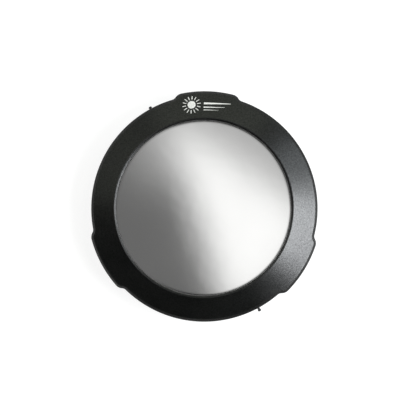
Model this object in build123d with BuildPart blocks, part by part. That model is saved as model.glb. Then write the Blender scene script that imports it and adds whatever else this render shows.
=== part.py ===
"""Slip-over solar filter cell for an eight-inch telescope tube.

Millimetres. The origin is on the optical axis in the plane of the rear rim, +Z points at the Sun and +Y runs
through the first of three lobes. Each lobe hides a sprung centring shoe. Two headed posts carry the straps.
"""

from math import acos, cos, degrees, hypot, radians, sin
import os

from build123d import *

os.makedirs("parts", exist_ok=True)

# --- layout around the axis, in degrees
LOBE_ANGLES = (90, 210, 330)
POST_ANGLES = (120, 300)
SCREW_ANGLES = (2, 30, 58, 122, 150, 178, 242, 270, 298)

# --- outline of the flange, seen from the front
FLANGE_R = 130.0
LOBE_R = 134.8
LOBE_HALF_DEG = 12.8
LOBE_CORNER_R = 10.0
LOBE_HOLLOW_R = 6.5

# --- heights above the rear rim
FLANGE_Z = 20.0
PLATE_T = 2.4
LIP_Z = 37.6
FRONT_HOOP_T = 0.8
FILM_T = 0.3
REAR_HOOP_T = 1.5
GASKET_T = 0.7

# --- bezel
SHELL = 2.4
FIT_GAP = 0.2
CONE_INNER_R = 106.0
CONE_TOP_Z = 40.5
CONE_FALL = 0.5
LIP_R = 99.8
LIP_ROUND = 2.0
RIB_IN = 106.6
RIB_OUT = 108.2
RIB_Z = 33.8
CHAMFER_ON_CONE = 3.2
CHAMFER_ON_WALL = 0.8
EDGE_SOFTENING = 0.6
REACH = 140.0

# --- film stack
HOOP_INNER_R = 100.4
HOOP_OUTER_R = 106.2
FILM_R = 106.0
SHELF_INNER_R = 101.4
RISER_OUTER_R = 104.2

# --- collar behind the flange
WALL_IN = 122.6
WALL_OUT = 124.4
BULGE_R = 132.2
BULGE_WALL = 2.0
WINDOW_HALF = 24.5
COVER_T = 1.8
ROOF_Z = 18.2
COVER_HALF_DEG = 17.5

# --- screws that hold the bezel to the collar
SCREW_PITCH_R = 119.6
SCREW_BOSS_R = 3.0
SCREW_HEAD_R = 2.5
SCREW_HEAD_T = 1.6
SCREW_SHANK_R = 1.25
SCREW_CLEAR_R = 1.6
SCREW_LENGTH = 8.0

# --- cover screws, in a lobe's own frame with x outwards
COVER_SCREW_X = 121.7
COVER_SCREW_Y = 31.0
COVER_BOSS_R = 2.5
COVER_HEAD_R = 2.3
COVER_SHANK_R = 1.0
COVER_CLEAR_R = 1.25
COVER_SCREW_LENGTH = 9.0

# --- centring shoes and their pads
PAD_R = 115.5
SHOE_IN_R = 117.4
SHOE_OUT_R = 119.4
SHOE_HALF_DEG = 19.0
SHOE_Z = 2.2
SHOE_TOP_Z = 17.6
ARM_IN = 21.0
ARM_OUT = 24.0
WING_OUT = 27.5
WING_X = 122.3
WING_T = 1.6

# --- springs behind the shoes
SPRING_Y = 14.0
SPRING_Z = 10.0
SPRING_MEAN_R = 2.2
SPRING_WIRE_R = 0.3
SPRING_TURNS = 5
SEAT_X = 119.8
BACK_SEAT_X = 128.6
SEAT_R = 3.2
PEG_R = 1.3
PEG_LENGTH = 2.8
BACK_PEG_LENGTH = 1.8

# --- soft ring the tube's front rim rests on
SEAT_RING_IN = 107.0
SEAT_RING_OUT = 116.0
SEAT_RING_T = 1.6

# --- posts, clips and straps
POST_Z = 9.6
PAD_FLAT_R = 126.0
PAD_FLAT_DISC = 6.0
SHOULDER_R = 3.5
SHOULDER_T = 0.6
NECK_R = 1.5
HEAD_START_R = 133.2
HEAD_R = 2.0
POST_TIP_R = 135.3
NUT_T = 1.9
NUT_R = 3.2
CLIP_BASE_R = 126.9
CLIP_T = 1.4
CLIP_BACK = 5.0
CLIP_BODY_END = 9.4
CLIP_HALF_W = 9.2
CLIP_CORNER = 3.0
SLOT_HALF_W = 7.9
BAR_AT = 12.0
BAR_R = 1.0
KEY_AT = 5.6
KEY_R = 2.3
KEY_SLOT_R = 1.6
STRAP_HALF_W = 7.5
STRAP_T = 1.4
LOOP_IN = 1.35
LOOP_OUT = 2.2
STRAP_LENGTH = 96.0


def level(height, turn=0):
    """A plane square to the optical axis, with x along the given direction."""
    return Plane(
        origin=(0, 0, height),
        x_dir=(cos(radians(turn)), sin(radians(turn)), 0),
        z_dir=(0, 0, 1),
    )


def facing_out(turn, radius, height):
    """A plane that faces outwards, with x to the left around the axis and y towards the Sun."""
    c, s = cos(radians(turn)), sin(radians(turn))
    return Plane(origin=(radius * c, radius * s, height), x_dir=(-s, c, 0), z_dir=(c, s, 0))


def facing_out_local(turn, x, y, height):
    """Like facing_out, for a point given in a lobe's own frame."""
    c, s = cos(radians(turn)), sin(radians(turn))
    return Plane(origin=(x * c - y * s, x * s + y * c, height), x_dir=(-s, c, 0), z_dir=(c, s, 0))


def lobed_disc(base_r, lobe_r, corner_r, hollow_r):
    """A disc with three lobes, every arc tangent to the next."""
    near, far = lobe_r - corner_r, base_r + hollow_r
    apart = corner_r + hollow_r
    spread = degrees(acos((near**2 + far**2 - apart**2) / (2 * near * far)))
    first, last = LOBE_HALF_DEG, LOBE_HALF_DEG + spread
    # in the lobe's own frame, the direction from the corner's centre to the hollow's centre
    dx = far * cos(radians(last)) - near * cos(radians(first))
    dy = far * sin(radians(last)) - near * sin(radians(first))
    bend = degrees(acos(dx / hypot(dx, dy)))
    with BuildSketch() as disc:
        with BuildLine():
            for turn in LOBE_ANGLES:
                c1 = (near * cos(radians(turn + first)), near * sin(radians(turn + first)))
                c2 = (far * cos(radians(turn + last)), far * sin(radians(turn + last)))
                c3 = (near * cos(radians(turn - first)), near * sin(radians(turn - first)))
                c4 = (far * cos(radians(turn - last)), far * sin(radians(turn - last)))
                CenterArc((0, 0), lobe_r, turn - first, 2 * first)
                CenterArc(c1, corner_r, turn + first, bend - first)
                CenterArc(c2, hollow_r, turn + bend + 180, last - bend)
                CenterArc(c3, corner_r, turn - first, first - bend)
                CenterArc(c4, hollow_r, turn - bend + 180, bend - last)
                CenterArc((0, 0), base_r, turn + last, 120 - 2 * last)
        make_face()
    return disc.sketch


def flange_disc(inset):
    """The flange's outline moved inwards."""
    return lobed_disc(FLANGE_R - inset, LOBE_R - inset, LOBE_CORNER_R - inset, LOBE_HOLLOW_R + inset)


def collar_disc(inset):
    """The collar's outer outline moved inwards."""
    return lobed_disc(WALL_OUT - inset, BULGE_R - inset, LOBE_CORNER_R - inset, LOBE_HOLLOW_R + inset)


def sector(inner_r, outer_r, half_deg):
    """A stretch of a flat ring, centred on the x axis."""
    with BuildSketch() as piece:
        with BuildLine():
            CenterArc((0, 0), outer_r, -half_deg, 2 * half_deg)
            CenterArc((0, 0), inner_r, -half_deg, 2 * half_deg)
            for side in (-half_deg, half_deg):
                c, s = cos(radians(side)), sin(radians(side))
                Line((inner_r * c, inner_r * s), (outer_r * c, outer_r * s))
        make_face()
    return piece.sketch


def cone_z(radius, below=0.0):
    """Height of the bezel's front cone, or of a surface a wall's thickness below it."""
    return CONE_TOP_Z - CONE_FALL * (radius - CONE_INNER_R) - below * hypot(1, CONE_FALL)


def polar(radius, turns):
    """Points on a circle."""
    return [(radius * cos(radians(a)), radius * sin(radians(a))) for a in turns]


screw_points = polar(SCREW_PITCH_R, SCREW_ANGLES)
plate_top = FLANGE_Z + PLATE_T
front_hoop_z = LIP_Z - FRONT_HOOP_T
film_z = front_hoop_z - FILM_T
rear_hoop_z = film_z - REAR_HOOP_T
gasket_z = rear_hoop_z - GASKET_T

# ---------------------------------------------------------------- front bezel
with BuildPart() as bezel_hollow:
    with BuildSketch(level(FLANGE_Z)):
        add(flange_disc(SHELL))
    extrude(amount=20)
    with BuildSketch(Plane.XZ):
        with BuildLine():
            Polyline(
                (RIB_IN, FLANGE_Z),
                (REACH, FLANGE_Z),
                (REACH, cone_z(REACH, SHELL)),
                (RIB_OUT, cone_z(RIB_OUT, SHELL)),
                (RIB_OUT, RIB_Z),
                (RIB_IN, RIB_Z),
                close=True,
            )
        make_face()
    revolve(axis=Axis.Z, mode=Mode.INTERSECT)
    with BuildSketch(level(plate_top)):
        with Locations(*screw_points):
            Circle(SCREW_BOSS_R)
    extrude(amount=20, mode=Mode.SUBTRACT)

with BuildPart() as front_bezel:
    with BuildSketch(level(FLANGE_Z)):
        add(flange_disc(0))
    extrude(amount=cone_z(LIP_R) + 1 - FLANGE_Z)
    with BuildSketch(Plane.XZ):
        with BuildLine():
            Polyline(
                (LIP_R, cone_z(LIP_R)),
                (LIP_R, LIP_Z),
                (RIB_IN, LIP_Z),
                (RIB_IN, FLANGE_Z),
                (REACH, FLANGE_Z),
                (REACH, cone_z(REACH)),
                close=True,
            )
        profile = make_face()
        fillet(profile.vertices().sort_by(Axis.Y)[-1], LIP_ROUND)
    revolve(axis=Axis.Z, mode=Mode.INTERSECT)
    shoulder = front_bezel.edges().filter_by(
        lambda e: hypot((e @ 0.5).X, (e @ 0.5).Y) > FLANGE_R - 1 and abs((e % 0.5).Z) < 0.7 and (e @ 0.5).Z > 22
    )
    cone_face = front_bezel.faces().filter_by(GeomType.CONE).sort_by(SortBy.AREA)[-1]
    chamfer(shoulder, CHAMFER_ON_CONE, CHAMFER_ON_WALL, reference=cone_face)
    chamfer_foot = front_bezel.edges().filter_by(
        lambda e: hypot((e @ 0.5).X, (e @ 0.5).Y) > FLANGE_R - 1
        and abs((e % 0.5).Z) < 0.7
        and 22 < (e @ 0.5).Z < cone_z(hypot((e @ 0.5).X, (e @ 0.5).Y)) - 0.4
    )
    fillet(chamfer_foot, EDGE_SOFTENING)
    add(bezel_hollow.part, mode=Mode.SUBTRACT)
    with BuildSketch(level(plate_top)):
        with Locations(*screw_points):
            Circle(SCREW_SHANK_R)
    extrude(amount=SCREW_LENGTH - PLATE_T + 0.4, mode=Mode.SUBTRACT)

# ---------------------------------------------------------------- film and the rings that hold it
with BuildPart() as film_front_hoop:
    with BuildSketch(level(front_hoop_z)):
        Circle(HOOP_OUTER_R)
        Circle(HOOP_INNER_R, mode=Mode.SUBTRACT)
    extrude(amount=FRONT_HOOP_T)

with BuildPart() as solar_film:
    with BuildSketch(level(film_z)):
        Circle(FILM_R)
    extrude(amount=FILM_T)

with BuildPart() as film_rear_hoop:
    with BuildSketch(level(rear_hoop_z)):
        Circle(HOOP_OUTER_R)
        Circle(HOOP_INNER_R, mode=Mode.SUBTRACT)
    extrude(amount=REAR_HOOP_T)
    inner_edge = film_rear_hoop.edges().group_by(Axis.Z)[0].sort_by(SortBy.RADIUS)[0]
    chamfer(inner_edge, 0.5)

with BuildPart() as film_gasket:
    with BuildSketch(level(gasket_z)):
        Circle(HOOP_OUTER_R)
        Circle(SHELF_INNER_R, mode=Mode.SUBTRACT)
    extrude(amount=GASKET_T)

# ---------------------------------------------------------------- rear collar
with BuildPart() as rear_collar:
    with BuildSketch(level(0)):
        add(collar_disc(0))
        Circle(WALL_IN, mode=Mode.SUBTRACT)
    extrude(amount=FLANGE_Z)
    with BuildSketch(level(0)):
        add(collar_disc(BULGE_WALL))
        Circle(WALL_OUT, mode=Mode.SUBTRACT)
    extrude(amount=ROOF_Z, mode=Mode.SUBTRACT)
    for turn in LOBE_ANGLES:
        with BuildSketch(level(0, turn)):
            with Locations((WALL_IN, 0)):
                Rectangle(10, 2 * WINDOW_HALF)
        extrude(amount=ROOF_Z, mode=Mode.SUBTRACT)
        with BuildSketch(level(0, turn)):
            with Locations((COVER_SCREW_X, COVER_SCREW_Y), (COVER_SCREW_X, -COVER_SCREW_Y)):
                Circle(COVER_BOSS_R)
        extrude(amount=ROOF_Z)
        for side in (SPRING_Y, -SPRING_Y):
            with BuildSketch(facing_out_local(turn, BACK_SEAT_X, side, SPRING_Z)):
                Circle(SEAT_R)
            extrude(amount=1.9)
            with BuildSketch(facing_out_local(turn, BACK_SEAT_X - BACK_PEG_LENGTH, side, SPRING_Z)):
                Circle(PEG_R)
            extrude(amount=BACK_PEG_LENGTH)
        with BuildSketch(level(0, turn)):
            add(sector(WALL_IN - 1, REACH, COVER_HALF_DEG))
        extrude(amount=COVER_T, mode=Mode.SUBTRACT)
        with BuildSketch(level(COVER_T, turn)):
            with Locations((COVER_SCREW_X, COVER_SCREW_Y), (COVER_SCREW_X, -COVER_SCREW_Y)):
                Circle(COVER_SHANK_R)
        extrude(amount=COVER_SCREW_LENGTH - COVER_T, mode=Mode.SUBTRACT)
    with BuildSketch(level(FLANGE_Z)):
        add(flange_disc(SHELL + FIT_GAP))
        Circle(SHELF_INNER_R, mode=Mode.SUBTRACT)
        with Locations(*screw_points):
            Circle(SCREW_CLEAR_R, mode=Mode.SUBTRACT)
    extrude(amount=PLATE_T)
    with BuildSketch(level(plate_top)):
        Circle(RISER_OUTER_R)
        Circle(SHELF_INNER_R, mode=Mode.SUBTRACT)
    extrude(amount=gasket_z - plate_top)
    for turn in POST_ANGLES:
        with BuildSketch(facing_out(turn, WALL_IN + 1, POST_Z)):
            Circle(PAD_FLAT_DISC)
        extrude(amount=PAD_FLAT_R - WALL_IN - 1)
        with BuildSketch(facing_out(turn, WALL_IN - 1, POST_Z)):
            Circle(NECK_R)
        extrude(amount=6, mode=Mode.SUBTRACT)

with BuildPart() as seat_ring:
    with BuildSketch(level(FLANGE_Z - SEAT_RING_T)):
        Circle(SEAT_RING_OUT)
        Circle(SEAT_RING_IN, mode=Mode.SUBTRACT)
    extrude(amount=SEAT_RING_T)

with BuildPart() as collar_screws:
    with BuildSketch(level(FLANGE_Z - SCREW_HEAD_T)):
        with Locations(*screw_points):
            Circle(SCREW_HEAD_R)
    extrude(amount=SCREW_HEAD_T)
    head_rims = collar_screws.edges().group_by(Axis.Z)[0]
    fillet(head_rims, 0.7)
    with BuildSketch(level(FLANGE_Z - SCREW_HEAD_T)):
        with Locations(*screw_points):
            Rectangle(2.6, 0.6)
            Rectangle(0.6, 2.6)
    extrude(amount=0.8, mode=Mode.SUBTRACT)
    with BuildSketch(level(FLANGE_Z)):
        with Locations(*screw_points):
            Circle(SCREW_SHANK_R)
    extrude(amount=SCREW_LENGTH)

# ---------------------------------------------------------------- what each lobe holds
shoes, pads, springs, covers = [], [], [], []
for turn in LOBE_ANGLES:
    with BuildPart() as centring_shoe:
        with BuildSketch(level(SHOE_Z, turn)):
            add(sector(SHOE_IN_R, SHOE_OUT_R, SHOE_HALF_DEG))
            for side in (1, -1):
                with Locations(((SHOE_IN_R + WING_X) / 2 - 0.6, side * (ARM_IN + ARM_OUT) / 2)):
                    Rectangle(WING_X - SHOE_IN_R + 1.2, ARM_OUT - ARM_IN)
                with Locations((WING_X + WING_T / 2, side * (ARM_IN + WING_OUT) / 2)):
                    Rectangle(WING_T, WING_OUT - ARM_IN)
            Circle(SHOE_IN_R, mode=Mode.SUBTRACT)
        extrude(amount=SHOE_TOP_Z - SHOE_Z)
        for side in (SPRING_Y, -SPRING_Y):
            with BuildSketch(facing_out_local(turn, SHOE_OUT_R - 1.4, side, SPRING_Z)):
                Circle(SEAT_R)
            extrude(amount=SEAT_X - SHOE_OUT_R + 1.4)
            with BuildSketch(facing_out_local(turn, SEAT_X, side, SPRING_Z)):
                Circle(PEG_R)
            extrude(amount=PEG_LENGTH)
    shoes.append(centring_shoe)

    with BuildPart() as grip_pad:
        with BuildSketch(level(SHOE_Z, turn)):
            add(sector(PAD_R, SHOE_IN_R, SHOE_HALF_DEG))
        extrude(amount=SHOE_TOP_Z - SHOE_Z)
    pads.append(grip_pad)

    with BuildPart() as shoe_springs:
        for side in (SPRING_Y, -SPRING_Y):
            start = facing_out_local(turn, SEAT_X + SPRING_WIRE_R, side, SPRING_Z)
            length = BACK_SEAT_X - SEAT_X - 2 * SPRING_WIRE_R
            with BuildLine():
                coil = Helix(length / SPRING_TURNS, length, SPRING_MEAN_R, start.origin, start.z_dir)
            with BuildSketch(Plane(origin=coil @ 0, z_dir=coil % 0)):
                Circle(SPRING_WIRE_R)
            sweep(path=coil)
    springs.append(shoe_springs)

    with BuildPart() as guide_cover:
        with BuildSketch(level(0)):
            add(collar_disc(0))
            Circle(WALL_IN, mode=Mode.SUBTRACT)
        extrude(amount=COVER_T)
        with BuildSketch(level(0, turn)):
            add(sector(WALL_IN - 1, REACH, COVER_HALF_DEG))
        extrude(amount=COVER_T, mode=Mode.INTERSECT)
        with Locations(level(0, turn)):
            with Locations((COVER_SCREW_X, COVER_SCREW_Y, 0), (COVER_SCREW_X, -COVER_SCREW_Y, 0)):
                Cone(COVER_HEAD_R, COVER_CLEAR_R, COVER_HEAD_R - COVER_CLEAR_R,
                     align=(Align.CENTER, Align.CENTER, Align.MIN), mode=Mode.SUBTRACT)
                Cylinder(COVER_CLEAR_R, COVER_T,
                         align=(Align.CENTER, Align.CENTER, Align.MIN), mode=Mode.SUBTRACT)
    covers.append(guide_cover)

with BuildPart() as cover_screws:
    for turn in LOBE_ANGLES:
        with Locations(level(0, turn)):
            with Locations((COVER_SCREW_X, COVER_SCREW_Y, 0), (COVER_SCREW_X, -COVER_SCREW_Y, 0)):
                Cone(COVER_HEAD_R, COVER_SHANK_R, COVER_HEAD_R - COVER_SHANK_R,
                     align=(Align.CENTER, Align.CENTER, Align.MIN))
                Cylinder(COVER_SHANK_R, COVER_SCREW_LENGTH,
                         align=(Align.CENTER, Align.CENTER, Align.MIN))
                Box(2.4, 0.5, 0.6, align=(Align.CENTER, Align.CENTER, Align.MIN), mode=Mode.SUBTRACT)
                Box(0.5, 2.4, 0.6, align=(Align.CENTER, Align.CENTER, Align.MIN), mode=Mode.SUBTRACT)

# ---------------------------------------------------------------- posts, nuts, clips and straps
posts, nuts, clips, straps = [], [], [], []
for turn, way in zip(POST_ANGLES, (1, -1)):
    with BuildPart() as strap_post:
        with BuildSketch(facing_out(turn, WALL_IN - NUT_T - 0.5, POST_Z)):
            Circle(NECK_R)
        extrude(amount=HEAD_START_R - WALL_IN + NUT_T + 0.5)
        with BuildSketch(facing_out(turn, PAD_FLAT_R, POST_Z)):
            Circle(SHOULDER_R)
        extrude(amount=SHOULDER_T)
        with BuildSketch(facing_out(turn, HEAD_START_R, POST_Z)):
            Circle(HEAD_R)
        extrude(amount=POST_TIP_R - HEAD_START_R)
        rims = strap_post.edges().filter_by(GeomType.CIRCLE)
        dome = rims.sort_by_distance(facing_out(turn, POST_TIP_R, POST_Z).origin)[0]
        fillet(dome, 1.5)
    posts.append(strap_post)

    with BuildPart() as post_nut:
        with BuildSketch(facing_out(turn, WALL_IN - 0.25 - NUT_T, POST_Z)):
            RegularPolygon(NUT_R, 6)
            Circle(NECK_R, mode=Mode.SUBTRACT)
        extrude(amount=NUT_T)
    nuts.append(post_nut)

    with BuildPart() as strap_clip:
        with BuildSketch(facing_out(turn, CLIP_BASE_R, POST_Z)):
            with Locations((way * (BAR_AT + BAR_R - CLIP_BACK) / 2, 0)):
                RectangleRounded(BAR_AT + BAR_R + CLIP_BACK, 2 * CLIP_HALF_W, CLIP_CORNER)
            with Locations((way * (CLIP_BODY_END + BAR_AT + BAR_R) / 2 + way, 0)):
                Rectangle(BAR_AT + BAR_R - CLIP_BODY_END + 2, 2 * SLOT_HALF_W, mode=Mode.SUBTRACT)
            with Locations((way * KEY_AT, 0)):
                Circle(KEY_R, mode=Mode.SUBTRACT)
            with Locations((way * KEY_AT / 2, 0)):
                SlotOverall(KEY_AT + 2 * KEY_SLOT_R, 2 * KEY_SLOT_R, mode=Mode.SUBTRACT)
        extrude(amount=CLIP_T)
        bar_plane = facing_out(turn, CLIP_BASE_R + CLIP_T / 2, POST_Z)
        bar_start = bar_plane.from_local_coords((way * BAR_AT, -SLOT_HALF_W - 0.6, 0))
        with BuildSketch(Plane(origin=bar_start, z_dir=(0, 0, 1))):
            Circle(BAR_R)
        extrude(amount=2 * SLOT_HALF_W + 1.2)
    clips.append(strap_clip)

    bar = bar_plane.from_local_coords((way * BAR_AT, 0, 0))
    bar_r = hypot(bar.X, bar.Y)
    bar_turn = turn + way * degrees(acos((CLIP_BASE_R + CLIP_T / 2) / bar_r))
    reach = degrees(STRAP_LENGTH / bar_r)
    with BuildPart() as strap:
        with BuildSketch(level(POST_Z - STRAP_HALF_W, bar_turn + way * reach / 2)):
            add(sector(bar_r - STRAP_T / 2, bar_r + STRAP_T / 2, reach / 2))
        extrude(amount=2 * STRAP_HALF_W)
        with BuildSketch(Plane(origin=(bar.X, bar.Y, POST_Z - STRAP_HALF_W))):
            Circle(LOOP_OUT)
        extrude(amount=2 * STRAP_HALF_W)
        with BuildSketch(Plane(origin=(bar.X, bar.Y, POST_Z - STRAP_HALF_W))):
            Circle(LOOP_IN)
        extrude(amount=2 * STRAP_HALF_W, mode=Mode.SUBTRACT)
    straps.append(strap)

# ---------------------------------------------------------------- one file per subcomponent
named = {
    "front_bezel": front_bezel,
    "film_front_hoop": film_front_hoop,
    "solar_film": solar_film,
    "film_rear_hoop": film_rear_hoop,
    "film_gasket": film_gasket,
    "rear_collar": rear_collar,
    "seat_ring": seat_ring,
    "collar_screws": collar_screws,
    "cover_screws": cover_screws,
}
for group, pieces in (
    ("centring_shoe", shoes),
    ("grip_pad", pads),
    ("shoe_springs", springs),
    ("guide_cover", covers),
    ("strap_post", posts),
    ("post_nut", nuts),
    ("strap_clip", clips),
    ("strap", straps),
):
    for number, piece in enumerate(pieces, start=1):
        named[f"{group}_{number}"] = piece

for name, piece in named.items():
    piece.part.label = name
    export_step(piece.part, f"parts/{name}.step")
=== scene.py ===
"""Slip-over solar filter cell for a telescope: the looks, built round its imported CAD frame.

The origin is on the optical axis in the plane of the rear rim, +Z points at the Sun and +Y runs through the
first lobe. Blender's lengths are metres, so sizes given in millimetres are multiplied by MM.
"""

import math

import bmesh
import bpy
from mathutils import Matrix, Vector, noise


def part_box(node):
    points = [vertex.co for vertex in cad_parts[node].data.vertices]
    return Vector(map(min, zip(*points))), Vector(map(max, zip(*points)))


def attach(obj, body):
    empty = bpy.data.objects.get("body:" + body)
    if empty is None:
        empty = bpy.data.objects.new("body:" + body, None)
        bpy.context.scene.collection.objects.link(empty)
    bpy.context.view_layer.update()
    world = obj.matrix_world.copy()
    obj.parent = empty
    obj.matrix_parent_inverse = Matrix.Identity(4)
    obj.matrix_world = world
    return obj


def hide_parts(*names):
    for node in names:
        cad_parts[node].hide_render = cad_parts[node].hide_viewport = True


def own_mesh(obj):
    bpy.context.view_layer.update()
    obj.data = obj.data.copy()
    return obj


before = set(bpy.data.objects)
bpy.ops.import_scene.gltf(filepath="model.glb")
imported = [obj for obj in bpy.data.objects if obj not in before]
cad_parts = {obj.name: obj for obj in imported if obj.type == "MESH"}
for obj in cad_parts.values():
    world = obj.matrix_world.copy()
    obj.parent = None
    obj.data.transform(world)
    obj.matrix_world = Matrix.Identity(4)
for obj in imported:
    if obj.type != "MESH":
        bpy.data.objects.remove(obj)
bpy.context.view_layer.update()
MM = 0.001

# ---- Camera
# A 90 mm lens 1.2 m in front of the cell, nearly square to it: a little to the right, a little below, and
# rolled a degree and a half.
LENS_MM, SENSOR_MM = 90.0, 36.0
CAMERA_DISTANCE = 1.1953
CAMERA_RIGHT, CAMERA_DOWN, CAMERA_ROLL = (math.radians(a) for a in (2.8, 1.3, 1.616))
aim = Vector((0.0046, 0.0003, 0.024))
back = Vector((
    math.sin(CAMERA_RIGHT) * math.cos(CAMERA_DOWN),
    -math.sin(CAMERA_DOWN),
    math.cos(CAMERA_RIGHT) * math.cos(CAMERA_DOWN),
))
right = Vector((0, 1, 0)).cross(back).normalized()
axes = Matrix((right, back.cross(right), back)).transposed()
camera_data = bpy.data.cameras.new("camera")
camera_data.lens, camera_data.sensor_width = LENS_MM, SENSOR_MM
camera_data.clip_start, camera_data.clip_end = 0.01, 50
camera = bpy.data.objects.new("camera", camera_data)
eye = aim + back * CAMERA_DISTANCE
camera.matrix_world = Matrix.Translation(eye) @ axes.to_4x4() @ Matrix.Rotation(CAMERA_ROLL, 4, "Z")
bpy.context.collection.objects.link(camera)
bpy.context.scene.camera = camera
bpy.context.scene.view_settings.view_transform = "Standard"

# ---- Table and backdrop
# An opal acrylic product table, lit from beneath, that sweeps up into a low round cove where the light
# fades. The glow keeps the shadow faint.
COVE_START, COVE_RISE, COVE_HEIGHT = 2.3, 0.5, 0.8
COVE_BEND_STEPS, COVE_TURN_STEPS = 12, 96
TABLE_GLOW, COVE_GLOW = 0.86, 0.25


def linear(code, alpha=1.0):
    """An sRGB hex colour as linear RGBA."""
    parts = [int(code[i : i + 2], 16) / 255 for i in (1, 3, 5)]
    return (*[p / 12.92 if p <= 0.04045 else ((p + 0.055) / 1.055) ** 2.4 for p in parts], alpha)


def add(tree, kind, sockets=None, **settings):
    """Adds a node. Settings are its properties. Sockets gives each input a value or another node's output."""
    made = tree.nodes.new(kind)
    for name, value in settings.items():
        setattr(made, name, value)
    for name, value in (sockets or {}).items():
        if isinstance(value, bpy.types.NodeSocket):
            tree.links.new(value, made.inputs[name])
        else:
            made.inputs[name].default_value = value
    return made


def new_material(name, **sockets):
    """A node material and its shader. Constant sockets are given by name, with underscores for spaces."""
    material = bpy.data.materials.new(name)
    material.use_nodes = True
    tree = material.node_tree
    tree.nodes.clear()
    constants = {key.replace("_", " "): value for key, value in sockets.items()}
    shader = add(tree, "ShaderNodeBsdfPrincipled", constants)
    add(tree, "ShaderNodeOutputMaterial", {"Surface": shader.outputs[0]})
    return material, tree, shader


def new_piece(name, shape, *materials, smooth=True):
    """Closes a bmesh's seams, turns its faces outwards, and makes it an object at the origin."""
    bmesh.ops.remove_doubles(shape, verts=shape.verts, dist=1e-6)
    bmesh.ops.recalc_face_normals(shape, faces=shape.faces)
    mesh = bpy.data.meshes.new(name)
    shape.to_mesh(mesh)
    shape.free()
    for material in materials:
        mesh.materials.append(material)
    if smooth:
        mesh.shade_smooth()
    made = bpy.data.objects.new(name, mesh)
    bpy.context.collection.objects.link(made)
    return made


table_top, tree, shader = new_material(
    "opal_white_acrylic", Base_Color=linear("#8a8a89"), Roughness=0.9, Specular_IOR_Level=0.1,
    Emission_Color=linear("#ffffff"),
)
place = add(tree, "ShaderNodeTexCoord").outputs["Object"]
rise = add(tree, "ShaderNodeSeparateXYZ", {"Vector": place}).outputs["Z"]
glow = add(
    tree, "ShaderNodeMapRange",
    {"Value": rise, "From Max": COVE_HEIGHT, "To Min": TABLE_GLOW, "To Max": COVE_GLOW},
).outputs["Result"]
tree.links.new(glow, shader.inputs["Emission Strength"])
cove = bmesh.new()
line = [cove.verts.new((0, 0, 0)), cove.verts.new((COVE_START, 0, 0))]
for step in range(1, COVE_BEND_STEPS + 1):
    turn = math.radians(90 * step / COVE_BEND_STEPS)
    bend = (COVE_START + COVE_RISE * math.sin(turn), 0, COVE_RISE * (1 - math.cos(turn)))
    line.append(cove.verts.new(bend))
line.append(cove.verts.new((COVE_START + COVE_RISE, 0, COVE_HEIGHT)))
edges = [cove.edges.new(pair) for pair in zip(line, line[1:])]
bmesh.ops.spin(
    cove, geom=line + edges, axis=(0, 0, 1), cent=(0, 0, 0), angle=math.tau,
    steps=COVE_TURN_STEPS, use_merge=True,
)
table = new_piece("table", cove, table_top)
table.data.flip_normals()

# ---- Lights
# One large softbox low on the right, faintly cool, gives the long highlight on the cone. Dim warm-green ones
# at the top and the left lift the upper half, and two overhead light the table.
WORLD_GLOW = 0.02


def softbox(name, azimuth, off_axis, distance, size, radiance, colour="#ffffff"):
    """A rectangular softbox that faces the cell, placed by its angle from the optical axis."""
    data = bpy.data.lights.new(name, "AREA")
    data.shape, data.size, data.size_y = "RECTANGLE", *size
    data.energy = radiance * math.pi * size[0] * size[1]
    data.color = linear(colour)[:3]
    turn, lean = math.radians(azimuth), math.radians(off_axis)
    away = Vector((math.sin(lean) * math.cos(turn), math.sin(lean) * math.sin(turn), math.cos(lean)))
    sideways = Vector((-math.sin(turn), math.cos(turn), 0))
    made = bpy.data.objects.new(name, data)
    made.matrix_world = (
        Matrix.Translation(away * distance)
        @ Matrix((sideways, away.cross(sideways), away)).transposed().to_4x4()
    )
    bpy.context.collection.objects.link(made)


softbox("key_softbox", 349, 52, 1.3, (0.88, 0.62), 14.0, "#f8fbfe")
softbox("key_fill", 24, 52, 1.4, (0.8, 0.55), 3.0, "#f2f9fd")
softbox("top_softbox", 92, 54, 1.5, (1.6, 0.5), 1.1, "#f4fbea")
softbox("left_softbox", 155, 54, 1.5, (1.0, 0.5), 0.8, "#f4fbea")
softbox("overhead_left", 150, 30, 1.7, (0.5, 0.5), 4.0)
softbox("overhead_right", 30, 30, 1.7, (0.5, 0.5), 4.0)

world = bpy.data.worlds.new("studio")
world.use_nodes = True
world.node_tree.nodes["Background"].inputs["Color"].default_value = linear("#ffffff")
world.node_tree.nodes["Background"].inputs["Strength"].default_value = WORLD_GLOW
bpy.context.scene.world = world

# ---- Reflector card
# The film is a mirror, so what it shows is a card above the camera, graded from grey at the left to white at
# the right. The card's pattern is drawn in film radii, where the film shows it to the camera.
CARD_Z = 1.525
CARD_SIZE = 1.0
CARD_BRIGHTNESS = 1.8
FILM_RADIUS = 100 * MM
film_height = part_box("solar_film")[1][2]
spread = (CARD_Z - film_height) / (eye.z - film_height)
card_per_film = FILM_RADIUS * (1 + spread)
card_x, card_y = -eye.x * spread, -eye.y * spread
card_glow = bpy.data.materials.new("graded_reflector_card")
card_glow.use_nodes = True
tree = card_glow.node_tree
tree.nodes.clear()
place = add(tree, "ShaderNodeTexCoord").outputs["Object"]
in_radii = add(
    tree, "ShaderNodeMapping",
    {"Vector": place, "Location": (-card_x / card_per_film, -card_y / card_per_film, 0),
     "Scale": (1 / card_per_film, 1 / card_per_film, 0)},
).outputs["Vector"]
split = add(tree, "ShaderNodeSeparateXYZ", {"Vector": in_radii})
across, up = split.outputs["X"], split.outputs["Y"]
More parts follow.
